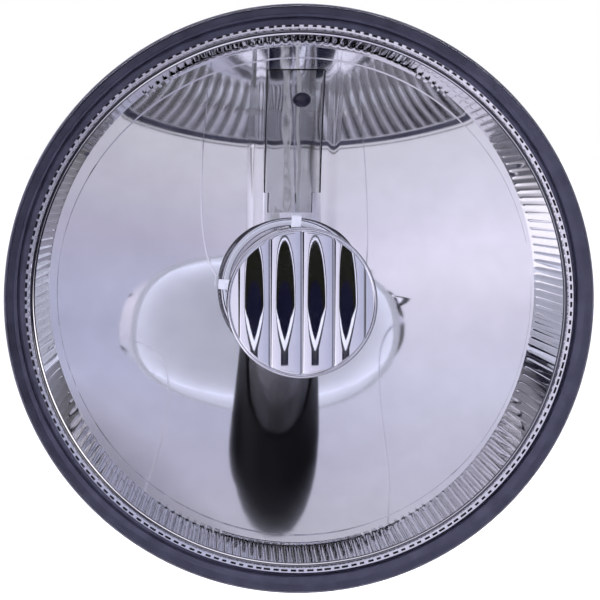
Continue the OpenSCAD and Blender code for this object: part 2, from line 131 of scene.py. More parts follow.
def lathe(name, outline, segments=256, closed=True, sharp_deg=35, height=0.0):
    """A turned solid about the optical axis, or about a line at a height above it.
    outline is a list of (radius, depth), whose points at radius 0 become poles."""
    verts, faces, rings = [], [], []
    angles = np.arange(segments) * TAU / segments
    for r, w in outline:
        count = 1 if r < POLE_R else segments
        rings.append(range(len(verts), len(verts) + count))
        verts.extend(on_axis(np.full(count, r), angles[:count], w) + (0, 0, height))
    for near, far in zip(rings, rings[1:] + rings[:1] if closed else rings[1:]):
        if len(near) + len(far) == 2:
            continue
        for j in range(segments):
            k = (j + 1) % segments
            corners = (near[j % len(near)], far[j % len(far)],
                       far[k % len(far)], near[k % len(near)])
            faces.append(tuple(dict.fromkeys(corners)))
    return smooth(outward(link(name, verts, faces)), sharp_deg)


def arc(centre, radius, start_deg, end_deg, steps):
    """Points (radius, depth) along a round corner."""
    return [(centre[0] + radius * math.cos(math.radians(a)),
             centre[1] + radius * math.sin(math.radians(a)))
            for a in np.linspace(start_deg, end_deg, steps)]


def dome(foot_r, top, rise, steps):
    """Points of a dome's outline, from its foot to the axis."""
    big = (foot_r ** 2 + rise ** 2) / (2 * rise)
    radii = foot_r * np.sin(np.linspace(math.pi / 2, 0, steps))
    return [(r, top - big + math.sqrt(big * big - r * r)) for r in radii]


# ---------------------------------------------------------------- materials

def material(name):
    mat = bpy.data.materials.new(name)
    mat.use_nodes = True
    tree = mat.node_tree
    tree.nodes.clear()
    return mat, tree


def add(tree, kind, inputs=None, **settings):
    made = tree.nodes.new(kind)
    for key, value in settings.items():
        setattr(made, key, value)
    for key, value in (inputs or {}).items():
        socket = made.inputs[key]
        if isinstance(value, bpy.types.NodeSocket):
            tree.links.new(value, socket)
        else:
            socket.default_value = value
    return made


def coordinates(tree, scale=(1, 1, 1)):
    where = add(tree, "ShaderNodeTexCoord")
    return add(tree, "ShaderNodeMapping", {"Vector": where.outputs["Object"], "Scale": scale})


def noise(tree, size, detail=3.0, scale=(1, 1, 1), roughness=0.5):
    """Noise whose lumps are about size metres across."""
    where = coordinates(tree, scale)
    return add(tree, "ShaderNodeTexNoise", {
        "Vector": where.outputs["Vector"], "Scale": 1 / size, "Detail": detail,
        "Roughness": roughness})


def ramp(tree, value, stops):
    """A colour ramp from a list of (place, colour)."""
    made = add(tree, "ShaderNodeValToRGB", {"Fac": value})
    elements = made.color_ramp.elements
    while len(elements) < len(stops):
        elements.new(0.5)
    for element, (place, colour) in zip(elements, stops):
        element.position = place
        element.color = (*colour, 1)
    return made


def spread(tree, value, low, high):
    """Maps 0..1 to low..high."""
    return add(tree, "ShaderNodeMapRange", {"Value": value, "To Min": low, "To Max": high})


def bump(tree, height, strength, distance):
    return add(tree, "ShaderNodeBump", {
        "Height": height, "Strength": strength, "Distance": distance})


def finish_with(tree, shader):
    add(tree, "ShaderNodeOutputMaterial", {"Surface": shader})


def surface(name, colours, size, rough, bumps=(), metallic=0.0, **sockets):
    """A material with mottled colour, mottled roughness and fine bumps.
    bumps is a list of (size, strength, distance)."""
    mat, tree = material(name)
    mottle = noise(tree, size)
    colour = ramp(tree, mottle.outputs["Fac"], [(0.3, colours[0]), (0.7, colours[1])])
    wear = noise(tree, size * 0.37, detail=5)
    roughness = spread(tree, wear.outputs["Fac"], rough[0], rough[1])
    shader = add(tree, "ShaderNodeBsdfPrincipled", {
        "Base Color": colour.outputs["Color"], "Roughness": roughness.outputs["Result"],
        "Metallic": metallic, **sockets})
    normal = None
    for lump, strength, distance in bumps:
        field = noise(tree, lump)
        made = bump(tree, field.outputs["Fac"], strength, distance)
        if normal is not None:
            tree.links.new(normal.outputs["Normal"], made.inputs["Normal"])
        normal = made
    if normal is not None:
        tree.links.new(normal.outputs["Normal"], shader.inputs["Normal"])
    finish_with(tree, shader.outputs["BSDF"])
    return mat


def clear_glass(name, tint, ior=1.5, waviness=0.02, least=0.035):
    """Clear glass that lets lamp light straight through. least is taken off its
    mirror share, as an anti-glare coating does."""
    mat, tree = material(name)
    wave = noise(tree, 9 * MM, detail=1)
    normal = bump(tree, wave.outputs["Fac"], waviness, 0.2 * MM)
    cloud = noise(tree, 20 * MM)
    colour = ramp(tree, cloud.outputs["Fac"],
                  [(0.3, tint), (0.7, tuple(min(1, c * 1.02) for c in tint))])
    glass = add(tree, "ShaderNodeBsdfRefraction", {
        "Color": colour.outputs["Color"], "Roughness": 0.0, "IOR": ior,
        "Normal": normal.outputs["Normal"]})
    shine = add(tree, "ShaderNodeBsdfGlossy", {
        "Color": (1, 1, 1, 1), "Roughness": 0.0, "Normal": normal.outputs["Normal"]})
    rim = add(tree, "ShaderNodeFresnel", {"IOR": ior, "Normal": normal.outputs["Normal"]})
    share = add(tree, "ShaderNodeMapRange", {
        "Value": rim.outputs["Fac"], "From Min": least, "From Max": 1.0})
    body = add(tree, "ShaderNodeMixShader", {
        0: share.outputs["Result"], 1: glass.outputs["BSDF"], 2: shine.outputs["BSDF"]})
    through = add(tree, "ShaderNodeBsdfTransparent", {"Color": (*tint, 1)})
    path = add(tree, "ShaderNodeLightPath")
    both = add(tree, "ShaderNodeMixShader", {
        0: path.outputs["Is Shadow Ray"], 1: body.outputs["Shader"],
        2: through.outputs["BSDF"]})
    finish_with(tree, both.outputs["Shader"])
    return mat


def mirror(name, colours, rough, ripple, size=6 * MM):
    """Bright metal with a faint ripple."""
    mat, tree = material(name)
    haze = noise(tree, size, detail=4)
    colour = ramp(tree, haze.outputs["Fac"], [(0.25, colours[0]), (0.75, colours[1])])
    roughness = spread(tree, haze.outputs["Fac"], rough[0], rough[1])
    wave = noise(tree, 5 * MM, detail=1)
    normal = bump(tree, wave.outputs["Fac"], ripple, 0.05 * MM)
    shader = add(tree, "ShaderNodeBsdfPrincipled", {
        "Base Color": colour.outputs["Color"], "Roughness": roughness.outputs["Result"],
        "Metallic": 1.0, "Normal": normal.outputs["Normal"]})
    finish_with(tree, shader.outputs["BSDF"])
    return mat


MATERIALS = {
    "lens_glass": clear_glass("lens_glass", (0.95, 0.955, 0.985), least=0.039),
    "bulb_glass": clear_glass("bulb_glass", (0.98, 0.985, 1.0), 1.46, 0.01, least=0.02),
    "sealant": surface("sealant", [(0.085, 0.085, 0.13), (0.14, 0.14, 0.205)], 4 * MM,
                       (0.35, 0.6), [(0.8 * MM, 0.3, 0.1 * MM)]),
    "reflector_metal": mirror("reflector_metal", [(0.80, 0.795, 0.80), (0.86, 0.855, 0.86)],
                              (0.02, 0.05), 0.02),
    "shield_chrome": mirror("shield_chrome", [(0.84, 0.84, 0.87), (0.9, 0.9, 0.92)],
                            (0.015, 0.04), 0.01),
    # Painted glow: the white satin inside of the shield also gives off light (Emission), which
    # stands in for the bright bowl that it would mirror.
    "shield_inside": surface("shield_inside", [(0.9, 0.9, 0.94), (0.94, 0.94, 0.98)], 3 * MM,
                             (0.5, 0.6), [(0.4 * MM, 0.1, 0.02 * MM)],
                             **{"Emission Color": (0.84, 0.86, 1.0, 1),
                                "Emission Strength": 0.44}),
    "strip_metal": mirror("strip_metal", [(0.54, 0.54, 0.54), (0.64, 0.64, 0.63)],
                          (0.02, 0.05), 0.02),
    "housing_plastic": surface("housing_plastic", [(0.018, 0.018, 0.02), (0.03, 0.03, 0.033)],
                               9 * MM, (0.42, 0.62), [(0.35 * MM, 0.35, 0.03 * MM)]),
    "holder_plastic": surface("holder_plastic", [(0.02, 0.02, 0.022), (0.035, 0.035, 0.038)],
                              6 * MM, (0.35, 0.5), [(0.25 * MM, 0.3, 0.02 * MM)]),
    "pin_plastic": surface("pin_plastic", [(0.012, 0.01, 0.03), (0.02, 0.017, 0.05)],
                           1 * MM, (0.04, 0.1)),
    "zinc_steel": surface("zinc_steel", [(0.5, 0.51, 0.54), (0.68, 0.68, 0.66)], 2.5 * MM,
                          (0.22, 0.42), [(0.3 * MM, 0.15, 0.02 * MM)], metallic=1.0),
    "black_rubber": surface("black_rubber", [(0.012, 0.012, 0.012), (0.022, 0.022, 0.022)],
                            2 * MM, (0.6, 0.85), [(0.3 * MM, 0.3, 0.03 * MM)]),
    "red_rubber": surface("red_rubber", [(0.28, 0.05, 0.02), (0.36, 0.07, 0.03)], 2 * MM,
                          (0.4, 0.6), [(0.3 * MM, 0.2, 0.02 * MM)]),
    "brass": surface("brass", [(0.7, 0.48, 0.16), (0.82, 0.6, 0.24)], 1.5 * MM,
                     (0.22, 0.4), [(0.2 * MM, 0.2, 0.02 * MM)], metallic=1.0),
    "tinned_brass": surface("tinned_brass", [(0.62, 0.6, 0.52), (0.74, 0.72, 0.66)], 1 * MM,
                            (0.25, 0.4), metallic=1.0),
    "white_plastic": surface("white_plastic", [(0.68, 0.66, 0.58), (0.76, 0.74, 0.68)],
                             3 * MM, (0.4, 0.55), [(0.3 * MM, 0.2, 0.02 * MM)]),
    "black_coating": surface("black_coating", [(0.001, 0.001, 0.003), (0.003, 0.003, 0.006)],
                             1 * MM, (0.25, 0.4), **{"Specular IOR Level": 0.1}),
    # Painted shade: this near-black colour is laid on the bottoms of the lip's notches, the
    # bevelled edges of the heat strip and the edges of the collar, where shade falls.
    "dark_edge": surface("dark_edge", [(0.012, 0.012, 0.02), (0.03, 0.03, 0.045)], 1 * MM,
                         (0.3, 0.5)),
    # Tungsten with a faint painted glow: its weak Emission brightens the coil, which is not lit.
    "tungsten": surface("tungsten", [(0.72, 0.72, 0.74), (0.84, 0.84, 0.86)], 0.4 * MM,
                        (0.3, 0.5), metallic=1.0,
                        **{"Emission Color": (0.9, 0.9, 0.95, 1), "Emission Strength": 0.3}),
    "coated_steel": surface("coated_steel", [(0.016, 0.017, 0.02), (0.03, 0.031, 0.035)],
                            5 * MM, (0.3, 0.5), [(0.5 * MM, 0.25, 0.03 * MM)]),
}


def dress(obj, slot_name):
    """Gives a piece its material, and a new piece the name of its material slot."""
    obj.data.materials.clear()
    obj.data.materials.append(MATERIALS[slot_name])
    return obj


def install(piece, node, body, slot_name):
    """Puts a detailed piece in the place of a CAD node, on that node's body."""
    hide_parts(node)
    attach(piece, body)
    dress(piece, slot_name)


def recolour(obj, slot_name, wanted):
    """Gives a second material to the faces for which wanted(radius, depth) is true."""
    obj.data.materials.append(MATERIALS[slot_name])
    for polygon in obj.data.polygons:
        centre = polygon.center
        there = wanted(math.hypot(centre.x, centre.z), VERTEX_Y - centre.y)
        polygon.material_index = int(there)


# ---------------------------------------------------------------- camera and light

CAMERA_DISTANCE = 0.60
CAMERA_AZIMUTH = math.radians(-2.7)
CAMERA_ELEVATION = math.radians(3.6)
LAMP_SHARE = 0.984667        # the lamp's share of the picture's height
AIM_FORWARD = 1 * MM         # the camera aims this far in front of the lens flange


def make_camera():
    target = Vector((0, VERTEX_Y - FLANGE_FRONT + AIM_FORWARD, 0))
    back = Vector((math.sin(CAMERA_AZIMUTH) * math.cos(CAMERA_ELEVATION),
                   -math.cos(CAMERA_AZIMUTH) * math.cos(CAMERA_ELEVATION),
                   math.sin(CAMERA_ELEVATION)))
    data = bpy.data.cameras.new("camera")
    half_width = LENS_R / LAMP_SHARE
    data.lens = data.sensor_width / 2 * CAMERA_DISTANCE / half_width
    data.clip_start = 0.01
    camera = bpy.data.objects.new("camera", data)
    bpy.context.scene.collection.objects.link(camera)
    camera.location = target + back * CAMERA_DISTANCE
    camera.rotation_mode = "QUATERNION"
    camera.rotation_quaternion = (-back).to_track_quat("-Z", "Y")
    bpy.context.scene.camera = camera
    return camera, target


def calc(tree, operation, *values):
    """One step of arithmetic in a material or world."""
    made = add(tree, "ShaderNodeMath", dict(enumerate(values)), operation=operation)
    return made.outputs["Value"]


def mix(tree, share, first, second):
    """The first colour where share is 0 and the second where it is 1."""
    made = add(tree, "ShaderNodeMixRGB", {"Fac": share, "Color1": first, "Color2": second})
    return made.outputs["Color"]


def soft_step(tree, value, low, high):
    """Rises smoothly from 0 to 1 between low and high."""
    made = add(tree, "ShaderNodeMapRange", {
        "Value": value, "From Min": low, "From Max": high}, interpolation_type="SMOOTHSTEP")
    return made.outputs["Result"]


def mask(tree, value, stops):
    """A grey ramp from a list of (place, level), for how far something covers the room."""
    made = ramp(tree, value, [(place, (level, level, level)) for place, level in stops])
    return made.outputs["Color"]


def bearing(degrees):
    """Place on the world's ramps of a direction this far round from the front."""
    return degrees / 360 + 0.5


# Colours of the room by height: 0 is straight down, 0.5 level and 1 straight up.
LEFT_WALL = [(0.0, (0.9, 0.88, 0.94)), (0.25, (1.06, 1.01, 1.12)), (0.37, (1.04, 0.99, 1.09)),
             (0.5, (0.92, 0.88, 0.98)), (0.63, (0.85, 0.82, 0.93)), (0.8, (0.82, 0.81, 0.93)),
             (0.93, (0.74, 0.72, 0.82)), (1.0, (0.70, 0.69, 0.73))]
RIGHT_WALL = [(0.0, (0.74, 0.72, 0.74)), (0.25, (0.60, 0.57, 0.68)), (0.42, (0.61, 0.61, 0.75)),
              (0.55, (0.56, 0.56, 0.70)), (0.75, (0.62, 0.62, 0.77)), (0.93, (0.60, 0.58, 0.69)),
              (1.0, (0.62, 0.60, 0.65))]
FLOOR_SHADE, PANE = (0.2, 0.195, 0.21), (1.6, 1.52, 1.55)
ABOVE_PANE, CEILING = (0.01, 0.01, 0.02), (0.32, 0.31, 0.34)
WINDOW_WALL = [(0.13, FLOOR_SHADE), (0.19, PANE), (0.43, PANE), (0.475, ABOVE_PANE),
               (0.76, ABOVE_PANE), (0.84, CEILING)]
WINDOW_LEAN = 1.6            # how much the window's head slopes
SIDE_WALLS = (0.10, 0.095, 0.082, 1)
BOOM = (0.12, 0.12, 0.12, 1)
BACKDROP, BACKDROP_TOP = (1.3, 1.3, 1.32, 1), (4.0, 4.0, 4.0, 1)


def front_walls(tree, across, height, around):
    """Pale walls in front, the left one brighter, that turn dark round the sides."""
    left, right = ramp(tree, height, LEFT_WALL), ramp(tree, height, RIGHT_WALL)
    front = mix(tree, soft_step(tree, across, -0.3, 0.35),
                left.outputs["Color"], right.outputs["Color"])
    cover = mask(tree, around, [(bearing(-50), 0), (bearing(-36), 1), (bearing(34), 1),
                                (bearing(54), 0.25), (bearing(72), 0)])
    return mix(tree, cover, SIDE_WALLS, front)


def window(tree, room, height, around):
    """A bright window on the far left, with a dark wall above its sloping head."""
    cover = mask(tree, around, [(bearing(-108), 0), (bearing(-96), 1), (bearing(-42), 1),
                                (bearing(-34), 0)])
    slope = calc(tree, "MULTIPLY_ADD", around, -WINDOW_LEAN, WINDOW_LEAN * bearing(-50))
    wall = ramp(tree, calc(tree, "ADD", height, slope), WINDOW_WALL)
    return mix(tree, cover, room, wall.outputs["Color"])


def boom(tree, room, height, around):
    """A dark boom above the camera."""
    upright = mask(tree, height, [(0.55, 0), (0.57, 1), (0.71, 1), (0.75, 0)])
    sideways = mask(tree, around, [(bearing(-9), 0), (bearing(-6), 1), (bearing(8), 1),
                                   (bearing(11), 0)])
    return mix(tree, calc(tree, "MULTIPLY", upright, sideways), room, BOOM)


def backdrop(tree, room, towards):
    """White behind the lamp, brighter high up, where it also comes further forward."""
    rear = soft_step(tree, towards["Y"], 0.1, 0.4)
    deep_rear = soft_step(tree, towards["Y"], 0.45, 0.7)
    overhead = soft_step(tree, towards["Z"], 0.45, 0.6)
    white = mix(tree, overhead, BACKDROP, BACKDROP_TOP)
    cover = calc(tree, "MAXIMUM", deep_rear, calc(tree, "MULTIPLY", rear, overhead))
    return mix(tree, cover, room, white)


def make_world():
    """A soft studio that reflections see by direction, and the camera sees as white."""
    world = bpy.data.worlds.new("studio")
    world.use_nodes = True
    tree = world.node_tree
    tree.nodes.clear()
    where = add(tree, "ShaderNodeTexCoord")
    towards = add(tree, "ShaderNodeSeparateXYZ", {"Vector": where.outputs["Generated"]}).outputs
    height = calc(tree, "MULTIPLY_ADD", towards["Z"], 0.5, 0.5)
    forward = calc(tree, "MULTIPLY", towards["Y"], -1.0)
    turn = calc(tree, "ARCTAN2", towards["X"], forward)
    around = calc(tree, "MULTIPLY_ADD", turn, 1 / TAU, 0.5)
    room = front_walls(tree, towards["X"], height, around)
    room = window(tree, room, height, around)
    room = boom(tree, room, height, around)
    room = backdrop(tree, room, towards)
    path = add(tree, "ShaderNodeLightPath")
    seen = mix(tree, path.outputs["Is Camera Ray"], room, (1, 1, 1, 1))
    sky = add(tree, "ShaderNodeBackground", {"Color": seen, "Strength": 1.0})
    add(tree, "ShaderNodeOutputWorld", {"Surface": sky.outputs["Background"]})
    bpy.context.scene.world = world


FLOOR_HALF = 12
FLOOR_Z = -0.2


def make_floor():
    """A plain pale floor that mirrors and glass don't show."""
    mat = surface("floor_paper", [(0.9, 0.9, 0.9), (0.93, 0.93, 0.93)], 0.2, (0.7, 0.9))
    corners = [(sx * FLOOR_HALF, sy * FLOOR_HALF, FLOOR_Z)
               for sx, sy in ((-1, -1), (1, -1), (1, 1), (-1, 1))]
    floor = link("floor", corners, [(0, 1, 2, 3)])
    floor.data.materials.append(mat)
    floor.visible_glossy = False
    floor.visible_transmission = False


def area_light(name, place, target, size, watts, colour):
    data = bpy.data.lights.new(name, "AREA")
    data.shape = "RECTANGLE"
    data.size, data.size_y = size
    data.energy = watts
    data.color = colour
    light = bpy.data.objects.new(name, data)
    bpy.context.scene.collection.objects.link(light)
    light.location = place
    light.visible_glossy = False
    light.visible_transmission = False
    light.rotation_mode = "QUATERNION"
    light.rotation_quaternion = (Vector(target) - Vector(place)).to_track_quat("-Z", "Y")


CARD_X, CARD_Z = 36 * MM, -80 * MM        # middle of the flag from the camera's own axis
CARD_HALF = 95 * MM
CARD_TOP = 80 * MM
CARD_LOW = -29 * MM
BODY_WIDE, BODY_HIGH = 0.72, 0.45         # the camera's body as shares of a round card


def card_outline(half, top, low, steps=24):
    """Corners of a card with a round top and a pointed foot."""
    turn = np.linspace(0, math.pi, steps)
    upper = [(half * math.cos(a), top * math.sin(a)) for a in turn]
    foot = [(-half * (1 - t) ** 0.8, low * t) for t in np.linspace(0, 1, steps)[1:]]
    return upper + foot + [(-x, z) for x, z in foot[-2::-1]]


def plain_card(left, right, high, low):
    """Corners of a rectangular card."""
    return [(left, high), (right, high), (right, low), (left, low)]


def make_card(camera, name, outline, back, glow):
    """A card round the camera that only reflections see, facing the lamp."""
    mat, tree = material(name)
    cloud = noise(tree, 30 * MM)
    shade = ramp(tree, cloud.outputs["Fac"], [
        (0.3, glow), (0.7, tuple(1.3 * c for c in glow))])
    lit = add(tree, "ShaderNodeEmission", {"Color": shade.outputs["Color"], "Strength": 1.0})
    finish_with(tree, lit.outputs["Emission"])
    card = link(name, [(CARD_X + x, CARD_Z + z, back) for x, z in outline],
                [tuple(range(len(outline)))])
    card.data.materials.append(mat)
    card.matrix_world = camera.matrix_world
    card.visible_camera = False
    card.visible_shadow = False


# Name, corners, distance behind the camera and glow of each card.
CARDS = [
    ("camera_body", [(BODY_WIDE * x, BODY_HIGH * z - 4 * MM)
                     for x, z in card_outline(CARD_HALF, CARD_TOP, -CARD_TOP)],
     -10 * MM, (0.006, 0.006, 0.02)),
    ("camera_flag", card_outline(CARD_HALF, CARD_TOP, CARD_LOW), -5 * MM, (0.010, 0.010, 0.006)),
    ("flag_edge", card_outline(1.1 * CARD_HALF, 1.04 * CARD_TOP, 1.9 * CARD_LOW),
     0.0, (1.0, 0.98, 1.1)),
    ("flag_rim", card_outline(1.2 * CARD_HALF, 1.08 * CARD_TOP, 2.4 * CARD_LOW),
     5 * MM, (0.05, 0.05, 0.06)),
    ("camera_stand", plain_card(-35 * MM, 35 * MM, -20 * MM, -75 * MM),
     6 * MM, (0.03, 0.03, 0.045)),
    ("stand_foot", plain_card(-66 * MM, 105 * MM, -92 * MM, -165 * MM),
     8 * MM, (0.08, 0.078, 0.07)),
]

camera, aim = make_camera()
make_world()
make_floor()
bpy.context.view_layer.update()
for card in CARDS:
    make_card(camera, *card)
area_light("key_softbox", (-0.9, -0.9, 1.0), aim, (0.9, 0.9), 14, (1, 0.99, 1))
area_light("rear_softbox", (0.6, 1.1, 0.8), aim, (0.8, 0.8), 10, (0.98, 0.98, 1))
bpy.context.scene.view_settings.view_transform = "Standard"


# ---------------------------------------------------------------- reflector

RIM_R = 50.3 * MM
RIM_W = FLANGE_BACK - 0.3 * MM
GROOVE_IN, GROOVE_OUT = 50.35 * MM, 50.5 * MM       # groove between the wall and the lip
NOTCH_IN, NOTCH_OUT = 50.85 * MM, 51.35 * MM        # row of notches in the lip
LIP_R = 51.9 * MM
LIP_CUT = 0.5 * MM           # depth of the groove and of the notches
LIP_SIDE = 0.05 * MM         # how far their steep sides lean
LIP_T = 1.2 * MM
OPENING_R = 12.6 * MM
FOCAL_TOP = 21.5 * MM        # upright focal length of the upper half, at the middle
TOP_OPENING_OUT = 1.7        # 1/m: how fast that length grows to the sides
FOCAL_BOTTOM = 24 * MM       # upright focal length of the lower half
FOCAL_ACROSS = 77 * MM       # the bowl is much flatter from side to side
FOCAL_ACROSS_LOW = 58 * MM   # but a little less so at the bottom
ACROSS_FROM, ACROSS_FULL = 8 * MM, 36 * MM          # drops over which that change happens
LOW_X, LOW_Z = 1.6 * MM, -2.0 * MM        # where the bowl is deepest
EDGE_HALF_X, EDGE_HALF_Z = 46.8 * MM, 46.05 * MM
EDGE_X, EDGE_Z = 0.5 * MM, -0.65 * MM     # middle of the bowl's outer edge
WALL_R, WALL_OVAL = 48.2 * MM, 0.3 * MM   # foot of the ribbed wall, and how oval it is
FLUTES = 196
FLUTE_COLS = 8               # points round each flute
FLUTE_DEPTH = 0.26 * MM
FLUTE_SHARP = 4              # power that makes round ribs with sharp valleys
FLUTE_RUN_IN = 0.12          # share of the wall's depth over which the flutes begin
LEDGE_RISE = 0.12 * MM       # plain step between the bowl and the ribbed wall
SHELL = 0.5 * MM
NECK_R = 14.2 * MM
PAD_X = -0.9 * MM
PAD_HALF = 8.5 * MM
PAD_FLANK = 2.6 * MM
PAD_RISE = 0.15 * MM
PAD_FROM, PAD_FULL = 10 * MM, 14 * MM     # heights between which the pad rises


def smoothstep(x, low, high):
    t = np.clip((x - low) / (high - low), 0, 1)
    return t * t * (3 - 2 * t)


def pad_height(x, z):
    """The raised pad that the heat strip lies on."""
    across = 1 - smoothstep(np.abs(x - PAD_X), PAD_HALF - PAD_FLANK, PAD_HALF)
    return PAD_RISE * across * smoothstep(z, PAD_FROM, PAD_FULL)


def bowl_at(x, z):
    """Depth of the bowl at a place across the lamp, with its own upper and lower halves."""
    x, z = x - LOW_X, z - LOW_Z
    upright = np.where(z > 0, FOCAL_TOP + TOP_OPENING_OUT * x * x, FOCAL_BOTTOM)
    across = FOCAL_ACROSS + (FOCAL_ACROSS_LOW - FOCAL_ACROSS) * smoothstep(
        -z, ACROSS_FROM, ACROSS_FULL)
    return z * z / (4 * upright) + x * x / (4 * across) + pad_height(x, z)


def bowl_depth(r, angle):
    """The same by radius and angle."""
    return bowl_at(r * np.cos(angle), r * np.sin(angle))


def bowl_edge_r(angle):
    """Radius of the bowl's outer edge, an oval set a little off the axis."""
    c, s = np.cos(angle), np.sin(angle)
    return 1 / np.hypot(c / EDGE_HALF_X, s / EDGE_HALF_Z) + EDGE_X * c + EDGE_Z * s


def wall_foot_r(angle):
    """Radius where the ribbed wall starts, a little smaller at the sides."""
    return WALL_R - WALL_OVAL * np.cos(2 * angle)


def make_reflector():
    cols = FLUTES * FLUTE_COLS
    angle = np.arange(cols) * TAU / cols + math.pi / 2
    foot_r, bowl_r = wall_foot_r(angle), bowl_edge_r(angle)
    front = []
    for t in np.append(np.linspace(0, 0.992, 110), (0.9975, 1.0)):
        r = OPENING_R + (bowl_r - OPENING_R) * t
        front.append(on_axis(r, angle, bowl_depth(r, angle)))
    # the ledge, then the wall of rounded ribs with sharp valleys
    for t in (0.04, 0.08, 0.35, 0.7):
        r = bowl_r + (foot_r - bowl_r) * t
        front.append(on_axis(r, angle, bowl_depth(r, angle) + LEDGE_RISE))
    foot_w = bowl_depth(foot_r, angle) + LEDGE_RISE
    phase = (angle * FLUTES / TAU) % 1.0
    valley = FLUTE_DEPTH * np.abs(2 * phase - 1) ** FLUTE_SHARP
    for t in np.concatenate([np.linspace(0, FLUTE_RUN_IN, 6), np.linspace(0.2, 1, 10)]):
        r = foot_r + (RIM_R - foot_r) * t
        front.append(on_axis(r + valley * min(1.0, t / FLUTE_RUN_IN), angle,
                             foot_w + (RIM_W - foot_w) * t))
    # the lip, with a groove inside it and a row of small notches
    flat = np.ones(cols)
    notch = LIP_CUT * (np.sin(angle * FLUTES) > 0)
    for r, cut in ((GROOVE_IN, LIP_CUT * flat), (GROOVE_OUT, LIP_CUT * flat),
                   (GROOVE_OUT + LIP_SIDE, 0), (NOTCH_IN, 0), (NOTCH_IN + LIP_SIDE, notch),
                   (NOTCH_OUT - LIP_SIDE, notch), (NOTCH_OUT, 0), (LIP_R, 0)):
        front.append(on_axis(r * flat, angle, RIM_W - cut))
    back = [on_axis(LIP_R * flat, angle, RIM_W - LIP_T),
            on_axis((RIM_R + 0.9 * MM) * flat, angle, RIM_W - LIP_T),
            on_axis(foot_r + SHELL, angle, foot_w - SHELL)]
    for t in np.linspace(1, 0, 14):
        r = OPENING_R + (bowl_r - OPENING_R) * t
        back.append(on_axis(r, angle, bowl_depth(r, angle) - SHELL))
    rows = front + back
    bowl = link("reflector_bowl", np.concatenate(rows), grid_faces(len(rows), cols, wrap_rows=True))
    smooth(outward(bowl), 40)
    neck = lathe("reflector_neck", [
        (OPENING_R, 0.3 * MM), (OPENING_R, -1.7 * MM), (NECK_R, -1.7 * MM), (NECK_R, 0.1 * MM)],
        128, sharp_deg=30)
    for piece in (bowl, neck):
        install(piece, "reflector", "head", "reflector_metal")
    # Painted shade: the bottoms of the lip's notches get the near-black dark_edge colour.
    recolour(bowl, "dark_edge", lambda r, w: (
        NOTCH_IN + 0.01 * MM < r < NOTCH_OUT - 0.01 * MM
        and LIP_CUT + 0.1 * MM > RIM_W - w > 0.1 * MM))


# ---------------------------------------------------------------- lens and its seal

DOME_R, DOME_IN_R = 51.6 * MM, 49.6 * MM  # feet of the dome, outside and inside
DOME_T = 3 * MM
DOME_GROOVE = 0.22 * MM      # groove round the foot of the dome
LINE_R, LINE_HALF = 54.15 * MM, 0.15 * MM           # fine line round the flange
LINE_D = 0.12 * MM
FRONT_ROUND, BACK_ROUND = 0.8 * MM, 0.4 * MM
BORE_R, BORE_BEVEL = 50.35 * MM, 0.3 * MM
BEAD_T = 0.25 * MM           # the bead that wraps round the edge of the glass
BEAD_GAP = 0.03 * MM
SEAL_STEPS = (52.6, 53.3, 54.6)           # radii of the seal's fine grooves, in mm
SEAL_T = 1.5 * MM
SEAL_BACK_IN, SEAL_BACK_OUT = 53.0 * MM, 55.4 * MM


def make_lens():
    outline = dome(DOME_R, LENS_FRONT, LENS_FRONT - FLANGE_FRONT, 60)[::-1]
    outline += [(DOME_R + 0.4 * MM, FLANGE_FRONT - DOME_GROOVE),
                (DOME_R + 0.7 * MM, FLANGE_FRONT)]
    outline += [(LINE_R - LINE_HALF, FLANGE_FRONT), (LINE_R, FLANGE_FRONT - LINE_D),
                (LINE_R + LINE_HALF, FLANGE_FRONT)]
    edge = LENS_R - BEAD_T - BEAD_GAP
    outline += arc((edge - FRONT_ROUND, FLANGE_FRONT - FRONT_ROUND), FRONT_ROUND, 90, 0, 7)
    outline += arc((edge - BACK_ROUND, FLANGE_BACK + BACK_ROUND), BACK_ROUND, 0, -90, 4)
    outline += [(BORE_R, FLANGE_BACK), (BORE_R - BORE_BEVEL, FLANGE_BACK + BORE_BEVEL)]
    inner_top = LENS_FRONT - DOME_T
    outline += dome(DOME_IN_R, inner_top, inner_top - (FLANGE_FRONT - 2 * MM), 60)
    install(lathe("lens_dome", outline, closed=False, sharp_deg=40), "lens", "head", "lens_glass")


def make_seal():
    """The dark bead between lens and housing, and the one round the edge of the glass."""
    face = FLANGE_BACK - 0.02 * MM
    glass_edge = LENS_R - BEAD_T
    behind = [(LIP_R + 0.05 * MM, face - LIP_T), (LIP_R + 0.05 * MM, face)]
    for r in SEAL_STEPS:
        behind += [((r - 0.2) * MM, face), (r * MM, face - 0.3 * MM), ((r + 0.1) * MM, face)]
    behind += [(glass_edge, face), (glass_edge, FLANGE_BACK + 1.2 * MM)]
    behind += arc((glass_edge, FLANGE_BACK + 1.2 * MM), BEAD_T, 90, 0, 4)
    behind += [(LENS_R, face + 0.1 * MM), (SEAL_BACK_OUT, face - SEAL_T),
               (SEAL_BACK_IN, face - SEAL_T)]
    edge = arc((glass_edge, FLANGE_BACK + 2 * MM), BEAD_T, 0, -90, 4)
    edge += arc((glass_edge, FLANGE_FRONT - 0.9 * MM), BEAD_T, 90, 0, 4)
    for name, outline in (("lens_seal_bead", behind), ("lens_edge_bead", edge)):
        install(lathe(name, outline, sharp_deg=20), "lens_seal", "head", "sealant")


# ---------------------------------------------------------------- heat strip

